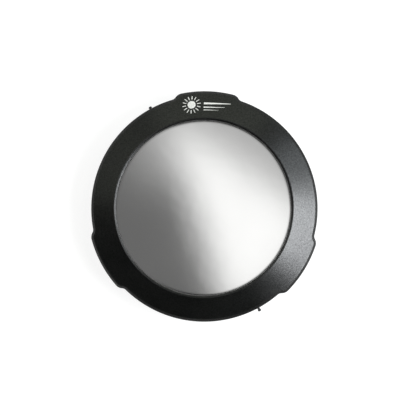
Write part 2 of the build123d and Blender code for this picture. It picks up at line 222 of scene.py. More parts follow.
# the slanted line where grey turns to white
lean = add(tree, "ShaderNodeMath", {0: up, 1: 0.335, 2: 0.134}, operation="MULTIPLY_ADD").outputs[0]
border = add(tree, "ShaderNodeMath", {0: across, 1: lean}, operation="ADD").outputs[0]
white = add(
    tree, "ShaderNodeMapRange",
    {"Value": border, "From Min": -0.30, "From Max": 0.36, "To Min": 0.0, "To Max": 0.89},
    interpolation_type="SMOOTHSTEP",
).outputs["Result"]
# the white falls off towards the top right
upward = add(tree, "ShaderNodeMath", {0: up, 1: 0.85}, operation="MULTIPLY").outputs[0]
corner = add(tree, "ShaderNodeMath", {0: across, 1: 0.5, 2: upward}, operation="MULTIPLY_ADD").outputs[0]
falloff = add(
    tree, "ShaderNodeMapRange",
    {"Value": corner, "From Min": 0.29, "From Max": 0.92, "To Min": 1.0, "To Max": 0.37},
    interpolation_type="SMOOTHSTEP",
).outputs["Result"]
# a paler haze in the grey at the upper left
haze_up = add(
    tree, "ShaderNodeMapRange",
    {"Value": up, "From Min": -0.12, "From Max": 0.8, "To Min": 0.0, "To Max": 0.27},
    interpolation_type="SMOOTHSTEP",
).outputs["Result"]
haze_across = add(
    tree, "ShaderNodeMapRange",
    {"Value": across, "From Min": -1.15, "From Max": -0.45, "To Min": 0.0, "To Max": 1.0},
    interpolation_type="SMOOTHSTEP",
).outputs["Result"]
haze_left = add(
    tree, "ShaderNodeMapRange",
    {"Value": border, "From Min": -0.4, "From Max": 0.4, "To Min": 1.0, "To Max": 0.0},
    interpolation_type="SMOOTHSTEP",
).outputs["Result"]
haze = add(tree, "ShaderNodeMath", {0: haze_up, 1: haze_across}, operation="MULTIPLY").outputs[0]
haze = add(tree, "ShaderNodeMath", {0: haze, 1: haze_left, 2: 0.138}, operation="MULTIPLY_ADD").outputs[0]
glow = add(tree, "ShaderNodeMath", {0: white, 1: falloff, 2: haze}, operation="MULTIPLY_ADD").outputs[0]
# a black border round the white, which the film's rim turns down to see
outwards = add(tree, "ShaderNodeVectorMath", {0: in_radii}, operation="LENGTH").outputs["Value"]
border_black = add(
    tree, "ShaderNodeMapRange",
    {"Value": outwards, "From Min": 1.0, "From Max": 1.35, "To Min": 1.0, "To Max": 0.0},
    interpolation_type="SMOOTHSTEP",
).outputs["Result"]
left_kept = add(
    tree, "ShaderNodeMapRange",
    {"Value": across, "From Min": -0.75, "From Max": -0.2, "To Min": 1.0, "To Max": 0.0},
    interpolation_type="SMOOTHSTEP",
).outputs["Result"]
kept = add(tree, "ShaderNodeMath", {0: border_black, 1: left_kept}, operation="MAXIMUM").outputs[0]
glow = add(tree, "ShaderNodeMath", {0: glow, 1: kept}, operation="MULTIPLY").outputs[0]
strength = add(tree, "ShaderNodeMath", {0: glow, 1: CARD_BRIGHTNESS}, operation="MULTIPLY").outputs[0]
lamp = add(tree, "ShaderNodeEmission", {"Strength": strength})
add(tree, "ShaderNodeOutputMaterial", {"Surface": lamp.outputs[0]})
card = bmesh.new()
bmesh.ops.create_grid(card, x_segments=1, y_segments=1, size=CARD_SIZE / 2)
bmesh.ops.translate(card, verts=card.verts, vec=(card_x, card_y, CARD_Z))
card = new_piece("reflector_card", card, card_glow, smooth=False)

# ---- Bezel
# The conical front ring is injection-moulded ABS in a spark-eroded tool. That leaves a satin black skin with
# a very fine even grain, so highlights are broad and never sharp. The grain is really 0.1 mm and is drawn at
# 1.5 mm, as coarse as it needs to be to show.
BEZEL_GRAIN, BEZEL_GRAIN_DEPTH = 1.5, 0.1
RIM_WEAR_FROM, RIM_WEAR_TO = 127 * MM, 133 * MM


def moulded_plastic(name, colour, roughness, grain, depth, wear=(0.0, 1.0)):
    """Black moulded plastic with faint clouds in its gloss, a grain whose size and depth are in millimetres,
    and scuffs that grow between the two radii of wear."""
    material, tree, shader = new_material(name, IOR=1.53)
    place = add(tree, "ShaderNodeTexCoord").outputs["Object"]
    grains = add(
        tree, "ShaderNodeTexNoise",
        {"Vector": place, "Scale": 1 / (grain * MM), "Detail": 2.0, "Roughness": 0.6},
    )
    cloud = add(tree, "ShaderNodeTexNoise", {"Vector": place, "Scale": 28.0, "Detail": 4.0, "Roughness": 0.6})
    gloss = add(
        tree, "ShaderNodeMapRange",
        {"Value": cloud.outputs["Fac"], "From Min": 0.3, "From Max": 0.7,
         "To Min": roughness - 0.025, "To Max": roughness + 0.035},
    ).outputs["Result"]
    # handling scuffs: broken patches where the radius is large
    flat = add(tree, "ShaderNodeVectorMath", {0: place, 1: (1, 1, 0)}, operation="MULTIPLY").outputs[0]
    radius = add(tree, "ShaderNodeVectorMath", {0: flat}, operation="LENGTH").outputs["Value"]
    edge = add(
        tree, "ShaderNodeMapRange", {"Value": radius, "From Min": wear[0], "From Max": wear[1]},
        interpolation_type="SMOOTHSTEP",
    ).outputs["Result"]
    patches = add(
        tree, "ShaderNodeTexNoise", {"Vector": place, "Scale": 160.0, "Detail": 5.0, "Roughness": 0.7}
    )
    broken = add(
        tree, "ShaderNodeMapRange",
        {"Value": patches.outputs["Fac"], "From Min": 0.54, "From Max": 0.72, "To Min": 0.0, "To Max": 0.5},
    ).outputs["Result"]
    scuff = add(tree, "ShaderNodeMath", {0: edge, 1: broken}, operation="MULTIPLY").outputs[0]
    base = linear(colour)
    tint = add(
        tree, "ShaderNodeMix",
        {"Factor": grains.outputs["Fac"], "A": tuple(0.6 * c for c in base[:3]) + (1,),
         "B": tuple(1.5 * c for c in base[:3]) + (1,)},
        data_type="RGBA",
    )
    worn = add(
        tree, "ShaderNodeMix", {"Factor": scuff, "A": tint.outputs["Result"], "B": linear("#2b2b29")},
        data_type="RGBA",
    )
    bump = add(
        tree, "ShaderNodeBump", {"Height": grains.outputs["Fac"], "Strength": 0.6, "Distance": depth * MM}
    )
    # the grain's hollows hold less of the reflection than its tops
    glint = add(
        tree, "ShaderNodeMapRange",
        {"Value": grains.outputs["Fac"], "From Min": 0.3, "From Max": 0.7, "To Min": 0.35, "To Max": 0.63},
    ).outputs["Result"]
    tree.links.new(worn.outputs["Result"], shader.inputs["Base Color"])
    tree.links.new(gloss, shader.inputs["Roughness"])
    tree.links.new(glint, shader.inputs["Specular IOR Level"])
    tree.links.new(bump.outputs["Normal"], shader.inputs["Normal"])
    return material


def dress(material, *nodes):
    """Gives CAD nodes a finish."""
    for name in nodes:
        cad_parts[name].material_slots[0].material = material


bezel_plastic = moulded_plastic(
    "abs_spark_eroded_satin_black", "#040504", 0.31, BEZEL_GRAIN, BEZEL_GRAIN_DEPTH,
    (RIM_WEAR_FROM, RIM_WEAR_TO),
)
dress(bezel_plastic, "front_bezel")

# ---- Printed mark
# A plain sun and three rules, pad-printed on the top lobe in white enamel ink. The ink is a hair thick and
# slightly mottled, so it lets a little grey through.
CONE_START_RADIUS, CONE_START_HEIGHT, CONE_FALL = 106.0 * MM, 40.5 * MM, 0.5
INK_LIFT, INK_THICKNESS = 0.01 * MM, 0.05 * MM
SUN_X, SUN_Y, SUN_RADIUS = -17.0 * MM, 117.5 * MM, 4.6 * MM
SUN_CENTRE = Matrix.Translation((SUN_X, SUN_Y, 0))
RAYS, RAY_FROM, RAY_TO, RAY_WIDTH = 14, 6.4 * MM, 10.6 * MM, 0.9 * MM
# each rule in millimetres: left end, right end, height, and thickness at its left end, from where it tapers
RULES = ((-3.0, 27.5, 119.6, 2.4), (-3.0, 21.0, 115.0, 1.3), (-3.0, 14.0, 111.6, 0.8))
RULE_TAPER = 0.75
ink, tree, shader = new_material("pad_printed_white_enamel", Roughness=0.42, IOR=1.5)
place = add(tree, "ShaderNodeTexCoord").outputs["Object"]
speckle = add(tree, "ShaderNodeTexNoise", {"Vector": place, "Scale": 1400.0, "Detail": 3.0})
mottle = add(
    tree, "ShaderNodeMapRange", {"Value": speckle.outputs["Fac"], "From Min": 0.3, "From Max": 0.45},
).outputs["Result"]
tint = add(
    tree, "ShaderNodeMix", {"Factor": mottle, "A": linear("#8f8f8c"), "B": linear("#e9e9e4")},
    data_type="RGBA",
)
tree.links.new(tint.outputs["Result"], shader.inputs["Base Color"])

mark = bmesh.new()
bmesh.ops.create_circle(
    mark, segments=40, radius=SUN_RADIUS, cap_ends=True, cap_tris=True, matrix=SUN_CENTRE
)
for ray in range(RAYS):
    spot = (
        SUN_CENTRE
        @ Matrix.Rotation(math.tau * (ray + 0.5) / RAYS, 4, "Z")
        @ Matrix.Translation(((RAY_FROM + RAY_TO) / 2, 0, 0))
        @ Matrix.Diagonal(((RAY_TO - RAY_FROM) / 2, RAY_WIDTH / 2, 1, 1))
    )
    bmesh.ops.create_grid(mark, x_segments=3, y_segments=1, size=1, matrix=spot)
for left, far, height, thick in RULES:
    middle = Matrix.Translation(((left + far) / 2 * MM, height * MM, 0))
    spot = middle @ Matrix.Diagonal(((far - left) / 2 * MM, thick / 2 * MM, 1, 1))
    strip = bmesh.ops.create_grid(mark, x_segments=20, y_segments=1, size=1, matrix=spot)["verts"]
    for vert in strip:
        share = (vert.co.x - left * MM) / ((far - left) * MM)
        vert.co.y = height * MM + (vert.co.y - height * MM) * (1 - RULE_TAPER * share)
for vert in mark.verts:
    cone_height = CONE_START_HEIGHT - CONE_FALL * (math.hypot(vert.co.x, vert.co.y) - CONE_START_RADIUS)
    vert.co.z = cone_height + INK_LIFT
raised = bmesh.ops.extrude_face_region(mark, geom=list(mark.faces), use_keep_orig=True)["geom"]
bmesh.ops.translate(
    mark, verts=[item for item in raised if isinstance(item, bmesh.types.BMVert)], vec=(0, 0, INK_THICKNESS)
)
mark = new_piece("printed_sun_mark", mark, ink, smooth=False)
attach(mark, "cell")

# ---- Solar film
# Thin polyester film, vacuum-coated with aluminium on both faces and stretched flat in its hoops. It is a
# soft grey mirror, and its last few millimetres turn down a few degrees to the clamped edge.
FILM_OUTER, FILM_CLAMPED, FILM_FLAT = 106.0 * MM, 100.6 * MM, 95.8 * MM
FILM_THICKNESS = 0.25 * MM
FILM_DIP_SLOPE = math.tan(math.radians(3.2))
FILM_EDGE_STEPS, FILM_TURN_STEPS = 12, 144
film_skin, tree, shader = new_material("vacuum_aluminised_polyester", Metallic=1.0, Roughness=0.09)
place = add(tree, "ShaderNodeTexCoord").outputs["Object"]
slow = add(tree, "ShaderNodeTexNoise", {"Vector": place, "Scale": 14.0, "Detail": 3.0, "Roughness": 0.5})
tint = add(
    tree, "ShaderNodeMix", {"Factor": slow.outputs["Fac"], "A": linear("#bdbdbc"), "B": linear("#c6c6c5")},
    data_type="RGBA",
)
ripple = add(tree, "ShaderNodeBump", {"Height": slow.outputs["Fac"], "Strength": 0.25, "Distance": 0.4 * MM})
tree.links.new(tint.outputs["Result"], shader.inputs["Base Color"])
tree.links.new(ripple.outputs["Normal"], shader.inputs["Normal"])

film = bmesh.new()
span = FILM_CLAMPED - FILM_FLAT
dip = FILM_DIP_SLOPE * span / 3
line = [film.verts.new((0, 0, film_height + dip)), film.verts.new((FILM_FLAT / 2, 0, film_height + dip))]
for step in range(FILM_EDGE_STEPS + 1):
    share = step / FILM_EDGE_STEPS
    line.append(film.verts.new((FILM_FLAT + span * share, 0, film_height + dip * (1 - share**3))))
line.append(film.verts.new((FILM_OUTER, 0, film_height)))
edges = [film.edges.new(pair) for pair in zip(line, line[1:])]
bmesh.ops.spin(
    film, geom=line + edges, axis=(0, 0, 1), cent=(0, 0, 0), angle=math.tau,
    steps=FILM_TURN_STEPS, use_merge=True,
)
bmesh.ops.remove_doubles(film, verts=film.verts, dist=1e-6)
bmesh.ops.recalc_face_normals(film, faces=film.faces)
if sum(face.normal.z for face in film.faces) < 0:
    bmesh.ops.reverse_faces(film, faces=film.faces)
bmesh.ops.solidify(film, geom=film.faces, thickness=FILM_THICKNESS)
film = new_piece("stretched_film", film, film_skin)
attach(film, "cell")
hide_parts("solar_film")

# ---- Film hoops
# Two flat rings of glass-filled nylon grip the film between them. The fibres give the moulding a dull black
# skin with short pale flecks.
hoop_nylon = moulded_plastic("glass_filled_nylon_matt", "#0d0d0d", 0.5, 0.6, 0.03)
dress(hoop_nylon, "film_front_hoop", "film_rear_hoop")

# ---- Rear collar and guide covers
# The collar is a second ABS moulding, textured matt so that it grips the hand. The three arc covers that
# close the shoe guides come from the same tool.
collar_plastic = moulded_plastic("abs_textured_matt_black", "#0e0e0d", 0.5, 1.3, 0.09, (131 * MM, 133 * MM))
dress(collar_plastic, "rear_collar", "guide_cover_1", "guide_cover_2", "guide_cover_3")

# ---- Gasket and seat ring
# Two soft rings. A die-cut strip of closed-cell foam rubber lies under the film hoops, and a ring of pressed
# wool felt is glued inside the cup where the tube's end comes to rest.
FELT_ROUNDING, FELT_LUMP, FELT_LUMP_SIZE = 0.4 * MM, 0.12 * MM, 3.5 * MM
FOAM_ROUNDING, FOAM_LUMP, FOAM_LUMP_SIZE = 0.15 * MM, 0.03 * MM, 1.5 * MM
RING_INNER = {"seat_ring": 107 * MM, "film_gasket": 101.4 * MM}
RING_TURN_STEPS = 160


def soft_ring(name, node, rounding, lump, lump_size, material):
    """A flat soft ring in the space of a CAD ring, with rounded edges and an uneven skin."""
    low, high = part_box(node)
    outer, inner = high[0], RING_INNER[node]
    ring = bmesh.new()
    corners = [(inner, low[2]), (outer, low[2]), (outer, high[2]), (inner, high[2])]
    ring.faces.new([ring.verts.new((x, 0, z)) for x, z in corners])
    bmesh.ops.spin(
        ring, geom=ring.faces[:] + ring.edges[:] + ring.verts[:], axis=(0, 0, 1), cent=(0, 0, 0),
        angle=math.tau, steps=RING_TURN_STEPS, use_merge=True,
    )
    # the face that was spun is left inside the ring, on the plane where it started
    start = [face for face in ring.faces if all(abs(vert.co.y) < 1e-6 for vert in face.verts)]
    bmesh.ops.delete(ring, geom=start, context="FACES_ONLY")
    bmesh.ops.remove_doubles(ring, verts=ring.verts, dist=1e-6)
    rims = []
    for edge in ring.edges:
        one, other = (vert.co for vert in edge.verts)
        if abs(one.z - other.z) < 1e-6 and abs(one.xy.length - other.xy.length) < 1e-5:
            rims.append(edge)
    bmesh.ops.bevel(
        ring, geom=rims, offset=rounding, segments=2, profile=0.5, affect="EDGES", material=-1
    )
    for vert in ring.verts:
        vert.co.z += lump * noise.noise(vert.co / lump_size)
    ring = new_piece(name, ring, material)
    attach(ring, "cell")
    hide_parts(node)
    return ring


felt, tree, shader = new_material(
    "pressed_wool_felt_black", Roughness=0.95, Sheen_Weight=0.35, Sheen_Roughness=0.6
)
place = add(tree, "ShaderNodeTexCoord").outputs["Object"]
fibres = add(
    tree, "ShaderNodeTexNoise",
    {"Vector": place, "Scale": 900.0, "Detail": 6.0, "Roughness": 0.75, "Distortion": 2.0},
)
tint = add(
    tree, "ShaderNodeMix", {"Factor": fibres.outputs["Fac"], "A": linear("#121213"), "B": linear("#2c2c2e")},
    data_type="RGBA",
)
nap = add(tree, "ShaderNodeBump", {"Height": fibres.outputs["Fac"], "Strength": 0.9, "Distance": 0.3 * MM})
tree.links.new(tint.outputs["Result"], shader.inputs["Base Color"])
tree.links.new(nap.outputs["Normal"], shader.inputs["Normal"])
seat = soft_ring("felt_seat_ring", "seat_ring", FELT_ROUNDING, FELT_LUMP, FELT_LUMP_SIZE, felt)

foam, tree, shader = new_material("closed_cell_foam_rubber", Roughness=0.85, IOR=1.5)
place = add(tree, "ShaderNodeTexCoord").outputs["Object"]
cells = add(tree, "ShaderNodeTexVoronoi", {"Vector": place, "Scale": 2500.0})
tint = add(
    tree, "ShaderNodeMix",
    {"Factor": cells.outputs["Distance"], "A": linear("#17171a"), "B": linear("#262628")},
    data_type="RGBA",
)
pores = add(
    tree, "ShaderNodeBump", {"Height": cells.outputs["Distance"], "Strength": 0.5, "Distance": 0.1 * MM}
)
tree.links.new(tint.outputs["Result"], shader.inputs["Base Color"])
tree.links.new(pores.outputs["Normal"], shader.inputs["Normal"])
gasket = soft_ring("foam_film_gasket", "film_gasket", FOAM_ROUNDING, FOAM_LUMP, FOAM_LUMP_SIZE, foam)

# ---- Screws
# Cross-recess screws with a black oxide finish: a thin dark conversion coat over bright steel, with a dull
# metallic shine that is lightest where a driver has turned in the slots.
screw_steel, tree, shader = new_material("steel_black_oxide", Metallic=1.0)
place = add(tree, "ShaderNodeTexCoord").outputs["Object"]
blotch = add(tree, "ShaderNodeTexNoise", {"Vector": place, "Scale": 450.0, "Detail": 4.0, "Roughness": 0.6})
tint = add(
    tree, "ShaderNodeMix", {"Factor": blotch.outputs["Fac"], "A": linear("#1c1c20"), "B": linear("#3a3a3e")},
    data_type="RGBA",
)
dull = add(
    tree, "ShaderNodeMapRange", {"Value": blotch.outputs["Fac"], "To Min": 0.3, "To Max": 0.5}
).outputs["Result"]
tree.links.new(tint.outputs["Result"], shader.inputs["Base Color"])
tree.links.new(dull, shader.inputs["Roughness"])
dress(screw_steel, "collar_screws", "cover_screws")

# ---- Centring shoes
# Each shoe is a curved plate of acetal, a hard slippery plastic that keeps a waxy half-gloss where it has
# been moulded and rubs a little brighter as it slides.
shoe_acetal = moulded_plastic("acetal_moulded_waxy_black", "#111112", 0.32, 2.2, 0.03, (121 * MM, 124 * MM))
dress(shoe_acetal, "centring_shoe_1", "centring_shoe_2", "centring_shoe_3")

# ---- Grip pads
# A ribbed strip of nitrile rubber is bonded to the inside of each shoe and bites on the tube. Rubber moulded
# in a steel tool comes out dull, faintly dusty black.
LOBES = (90, 210, 330)
PAD_INNER, PAD_BACK = 115.5 * MM, 117.4 * MM
PAD_HALF_DEG = 19.0
RIB_HEIGHT, RIB_CUTS, RIB_MARGIN = 0.9 * MM, 76, 0.18 * MM
pad_rubber, tree, shader = new_material("nitrile_rubber_moulded", IOR=1.5)
place = add(tree, "ShaderNodeTexCoord").outputs["Object"]
dust = add(tree, "ShaderNodeTexNoise", {"Vector": place, "Scale": 300.0, "Detail": 5.0, "Roughness": 0.65})
tint = add(
    tree, "ShaderNodeMix", {"Factor": dust.outputs["Fac"], "A": linear("#141414"), "B": linear("#232322")},
    data_type="RGBA",
)
matt = add(
    tree, "ShaderNodeMapRange", {"Value": dust.outputs["Fac"], "To Min": 0.62, "To Max": 0.82}
).outputs["Result"]
skin = add(tree, "ShaderNodeBump", {"Height": dust.outputs["Fac"], "Strength": 0.4, "Distance": 0.08 * MM})
tree.links.new(tint.outputs["Result"], shader.inputs["Base Color"])
tree.links.new(matt, shader.inputs["Roughness"])
tree.links.new(skin.outputs["Normal"], shader.inputs["Normal"])

for number, lobe in enumerate(LOBES, start=1):
    node = f"grip_pad_{number}"
    low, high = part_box(node)
    pad = bmesh.new()
    front = PAD_INNER + RIB_HEIGHT
    corners = ((front, low[2]), (PAD_BACK, low[2]), (PAD_BACK, high[2]), (front, high[2]))
    start = Matrix.Rotation(math.radians(lobe - PAD_HALF_DEG), 4, "Z")
    pad.faces.new([pad.verts.new(start @ Vector((x, 0, z))) for x, z in corners])
    bmesh.ops.spin(
        pad, geom=pad.faces[:] + pad.edges[:] + pad.verts[:], axis=(0, 0, 1), cent=(0, 0, 0),
        angle=math.radians(2 * PAD_HALF_DEG), steps=RIB_CUTS,
    )
    bmesh.ops.recalc_face_normals(pad, faces=pad.faces)
    # every second strip of the face that looks at the axis is drawn out into a rib
    inside = [f for f in pad.faces if f.normal.xy.dot(f.calc_center_median().xy) < -0.9 * PAD_INNER]
    inside.sort(key=lambda face: (start.inverted() @ face.calc_center_median()).y)
    bmesh.ops.inset_individual(pad, faces=inside[1::2], thickness=RIB_MARGIN, depth=RIB_HEIGHT)
    pad = new_piece(f"ribbed_pad_{number}", pad, pad_rubber, smooth=False)
    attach(pad, f"shoe_{number}")
    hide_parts(node)

# ---- Shoe springs
# Two compression springs behind each shoe, coiled from bright drawn music wire with a closed coil at each
# end. Drawing leaves fine marks along the wire, so it shines like a dull needle.
SPRING_FRONT, SPRING_BACK = 119.8 * MM, 128.6 * MM
SPRING_SIDE, SPRING_HEIGHT = 14.0 * MM, 10.0 * MM
COIL_RADIUS, WIRE_RADIUS = 2.2 * MM, 0.3 * MM
OPEN_COILS, COIL_STEPS, WIRE_SIDES = 4, 20, 8
spring_wire, tree, shader = new_material("music_wire_drawn_bright", Metallic=1.0)
place = add(tree, "ShaderNodeTexCoord").outputs["Object"]
marks = add(tree, "ShaderNodeTexNoise", {"Vector": place, "Scale": 2600.0, "Detail": 2.0})
tint = add(
    tree, "ShaderNodeMix", {"Factor": marks.outputs["Fac"], "A": linear("#a5a5a6"), "B": linear("#c9c9ca")},
    data_type="RGBA",
)
shine = add(
    tree, "ShaderNodeMapRange", {"Value": marks.outputs["Fac"], "To Min": 0.2, "To Max": 0.4}
).outputs["Result"]
tree.links.new(tint.outputs["Result"], shader.inputs["Base Color"])
tree.links.new(shine, shader.inputs["Roughness"])

# a closed coil rises by just over the wire's thickness, so its turns all but touch
closed_rise = 2.05 * WIRE_RADIUS
open_rise = (SPRING_BACK - SPRING_FRONT - 2 * WIRE_RADIUS - 2 * closed_rise) / OPEN_COILS
for number, lobe in enumerate(LOBES, start=1):
    pair = bmesh.new()
    for side in (SPRING_SIDE, -SPRING_SIDE):
        coil = bmesh.new()
        wire_end = Matrix.Translation((COIL_RADIUS, 0, WIRE_RADIUS))
        wire_end = wire_end @ Matrix.Rotation(math.radians(90), 4, "X")
        bmesh.ops.create_circle(coil, segments=WIRE_SIDES, radius=WIRE_RADIUS, matrix=wire_end)
        last = coil.verts[:] + coil.edges[:]
        for turns, rise in ((1, closed_rise), (OPEN_COILS, open_rise), (1, closed_rise)):
            last = bmesh.ops.spin(
                coil, geom=last, axis=(0, 0, 1), cent=(0, 0, 0), dvec=(0, 0, rise / COIL_STEPS),
                angle=math.tau * turns, steps=turns * COIL_STEPS,
            )["geom_last"]
        bmesh.ops.holes_fill(coil, edges=coil.edges)
        # the coil's own axis is turned to point outwards from the optical axis
        spot = (
            Matrix.Rotation(math.radians(lobe), 4, "Z")
            @ Matrix.Translation((SPRING_FRONT, side, SPRING_HEIGHT))
            @ Matrix.Rotation(math.radians(90), 4, "Y")
        )
        bmesh.ops.transform(coil, matrix=spot, verts=coil.verts)
        loose = bpy.data.meshes.new("one_coil")
        coil.to_mesh(loose)
        coil.free()
        pair.from_mesh(loose)
        bpy.data.meshes.remove(loose)
    pair = new_piece(f"spring_pair_{number}", pair, spring_wire)
    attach(pair, "cell")
    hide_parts(f"shoe_springs_{number}")
    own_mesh(pair)

# ---- Posts and nuts
# The two headed posts are turned from steel bar and lacquered black, so fine turning rings show through a
# thin dark gloss. Inside the cup each is held by a bright zinc-plated hexagon nut.
TURNING_PITCH = 0.4 * MM
post_steel, tree, shader = new_material("turned_steel_black_lacquered", IOR=1.5)
place = add(tree, "ShaderNodeTexCoord").outputs["Object"]
flat = add(tree, "ShaderNodeVectorMath", {0: place, 1: (1, 1, 0)}, operation="MULTIPLY").outputs[0]
radius = add(tree, "ShaderNodeVectorMath", {0: flat}, operation="LENGTH").outputs["Value"]
# the post points outwards, so the radius runs along it
rings = add(tree, "ShaderNodeMath", {0: radius, 1: math.tau / TURNING_PITCH}, operation="MULTIPLY").outputs[0]
rings = add(tree, "ShaderNodeMath", {0: rings}, operation="SINE").outputs[0]
shine = add(
    tree, "ShaderNodeMapRange", {"Value": rings, "From Min": -1.0, "To Min": 0.26, "To Max": 0.4}
).outputs["Result"]
lacquer = add(tree, "ShaderNodeTexNoise", {"Vector": place, "Scale": 500.0, "Detail": 3.0})
tint = add(
    tree, "ShaderNodeMix", {"Factor": lacquer.outputs["Fac"], "A": linear("#050505"), "B": linear("#121212")},
    data_type="RGBA",
)
tree.links.new(tint.outputs["Result"], shader.inputs["Base Color"])
tree.links.new(shine, shader.inputs["Roughness"])
dress(post_steel, "strap_post_1", "strap_post_2")

nut_zinc, tree, shader = new_material("steel_zinc_plated", Metallic=1.0)
place = add(tree, "ShaderNodeTexCoord").outputs["Object"]
plate = add(tree, "ShaderNodeTexVoronoi", {"Vector": place, "Scale": 900.0})
tint = add(
    tree, "ShaderNodeMix",
    {"Factor": plate.outputs["Distance"], "A": linear("#aeb0b2"), "B": linear("#c6c2ae")},
    data_type="RGBA",
)
shine = add(
    tree, "ShaderNodeMapRange", {"Value": plate.outputs["Distance"], "To Min": 0.28, "To Max": 0.42}
).outputs["Result"]
tree.links.new(tint.outputs["Result"], shader.inputs["Base Color"])
tree.links.new(shine, shader.inputs["Roughness"])
dress(nut_zinc, "post_nut_1", "post_nut_2")

# ---- Keyhole clips
# Each clip is pressed from 1.4 mm steel sheet and powder-coated black, so it has a thin even skin with a
# slight orange-peel ripple, rubbed through in flecks where it turns on the post.
clip_coat, tree, shader = new_material("powder_coated_steel_black", Roughness=0.38, IOR=1.5)
place = add(tree, "ShaderNodeTexCoord").outputs["Object"]
peel = add(tree, "ShaderNodeTexNoise", {"Vector": place, "Scale": 900.0, "Detail": 1.0})
chips = add(tree, "ShaderNodeTexNoise", {"Vector": place, "Scale": 700.0, "Detail": 5.0, "Roughness": 0.7})
bare = add(
    tree, "ShaderNodeMapRange",
    {"Value": chips.outputs["Fac"], "From Min": 0.68, "From Max": 0.72, "To Min": 0.0, "To Max": 0.8},
).outputs["Result"]
tint = add(
    tree, "ShaderNodeMix", {"Factor": bare, "A": linear("#141416"), "B": linear("#6d6d6f")}, data_type="RGBA"
)
ripple = add(tree, "ShaderNodeBump", {"Height": peel.outputs["Fac"], "Strength": 0.4, "Distance": 0.08 * MM})
tree.links.new(tint.outputs["Result"], shader.inputs["Base Color"])
tree.links.new(ripple.outputs["Normal"], shader.inputs["Normal"])
dress(clip_coat, "strap_clip_1", "strap_clip_2")

# ---- Straps
# Two lengths of 15 mm nylon hook-and-loop tape. Each goes round its clip's bar, comes back on itself and is
# sewn down, and carries a stiff patch of hooks inside its free end.
POST_RADIUS, BAR_ALONG = 127.6 * MM, 12.0 * MM
TAPE_THICKNESS, LAYER_OFFSET = 0.68 * MM, 0.36 * MM
LOOP_RADIUS, NECK = 1.76 * MM, 4.6 * MM
STRAP_LENGTH, SEWN_BACK = 96.0 * MM, 22.0 * MM
TAPE_WAVE, WAVE_ALONG, WAVE_ACROSS = 0.12 * MM, 14.0 * MM, 9.0 * MM
RUN_STEPS, LOOP_STEPS, RETURN_STEPS, CUTS_ACROSS = 56, 18, 14, 6
THREAD_PITCH = 1.1 * MM
PATCH_LENGTH, PATCH_MARGIN, PATCH_FROM_END = 30.0 * MM, 0.8 * MM, 1.5 * MM
PATCH_BURIED, PATCH_PROUD, PATCH_STEPS = 0.03 * MM, 0.3 * MM, 20
STITCH_LIFT = 0.05 * MM
STITCH_SHAPE = Matrix.Diagonal((0.22 * MM, 0.85 * MM, 0.24 * MM, 1))
# the sewn box and the two rows across the hook patch, in millimetres along the strap and up from its edge
BOX_NEAR, BOX_FAR, ROW_LOW, ROW_HIGH = 7.0, 20.5, 1.6, 13.4
PATCH_ROWS = (66.0, 94.0)
STITCHES_ALONG, STITCHES_ACROSS = 6, 5
bar_radius = math.hypot(POST_RADIUS, BAR_ALONG)

webbing, tree, shader = new_material(
    "woven_nylon_loop_tape", Roughness=0.85, Sheen_Weight=0.5, Sheen_Roughness=0.45
)
# UV runs in metres, U along the tape and V across it. Threads are really 0.4 mm and are drawn at 1.1 mm. A
# wave texture's bands lie tau / 20 apart, so a scale of 2 / tau draws about one band to a pitch.
tape_uv = add(tree, "ShaderNodeUVMap", uv_map="tape").outputs["UV"]
threads = add(
    tree, "ShaderNodeMapping", {"Vector": tape_uv, "Scale": (1 / THREAD_PITCH, 1 / THREAD_PITCH, 1)}
).outputs["Vector"]
warp = add(
    tree, "ShaderNodeTexWave", {"Vector": threads, "Scale": 2 / math.tau, "Distortion": 0.4},
    bands_direction="Y",
).outputs["Fac"]
weft = add(
    tree, "ShaderNodeTexWave", {"Vector": threads, "Scale": 2 / math.tau, "Distortion": 0.4},
    bands_direction="X",
).outputs["Fac"]
weave = add(tree, "ShaderNodeMath", {0: warp, 1: weft}, operation="MULTIPLY").outputs[0]
place = add(tree, "ShaderNodeTexCoord").outputs["Object"]
pile = add(tree, "ShaderNodeTexNoise", {"Vector": place, "Scale": 1500.0, "Detail": 5.0, "Roughness": 0.8})
fuzz = add(tree, "ShaderNodeMath", {0: pile.outputs["Fac"], 1: weave}, operation="ADD").outputs[0]
tint = add(
    tree, "ShaderNodeMix", {"Factor": fuzz, "A": linear("#0f0f10"), "B": linear("#2c2c2e")}, data_type="RGBA"
)
relief = add(tree, "ShaderNodeBump", {"Height": fuzz, "Strength": 0.8, "Distance": 0.25 * MM})
tree.links.new(tint.outputs["Result"], shader.inputs["Base Color"])
tree.links.new(relief.outputs["Normal"], shader.inputs["Normal"])

hook_nylon, tree, shader = new_material("moulded_nylon_hooks", Roughness=0.45, IOR=1.53)
place = add(tree, "ShaderNodeTexCoord").outputs["Object"]
hooks = add(tree, "ShaderNodeTexVoronoi", {"Vector": place, "Scale": 900.0})
tint = add(
    tree, "ShaderNodeMix",
    {"Factor": hooks.outputs["Distance"], "A": linear("#2a2a2b"), "B": linear("#0b0b0c")},
    data_type="RGBA",
)
relief = add(
    tree, "ShaderNodeBump", {"Height": hooks.outputs["Distance"], "Strength": 1.0, "Distance": 0.5 * MM}
)
tree.links.new(tint.outputs["Result"], shader.inputs["Base Color"])
tree.links.new(relief.outputs["Normal"], shader.inputs["Normal"])

sewing_thread, tree, shader = new_material("bonded_polyester_thread", Roughness=0.55, Sheen_Weight=0.3)
place = add(tree, "ShaderNodeTexCoord").outputs["Object"]
twist = add(tree, "ShaderNodeTexNoise", {"Vector": place, "Scale": 3000.0, "Detail": 2.0})
tint = add(
    tree, "ShaderNodeMix", {"Factor": twist.outputs["Fac"], "A": linear("#2c2c2e"), "B": linear("#505052")},
    data_type="RGBA",
)
tree.links.new(tint.outputs["Result"], shader.inputs["Base Color"])


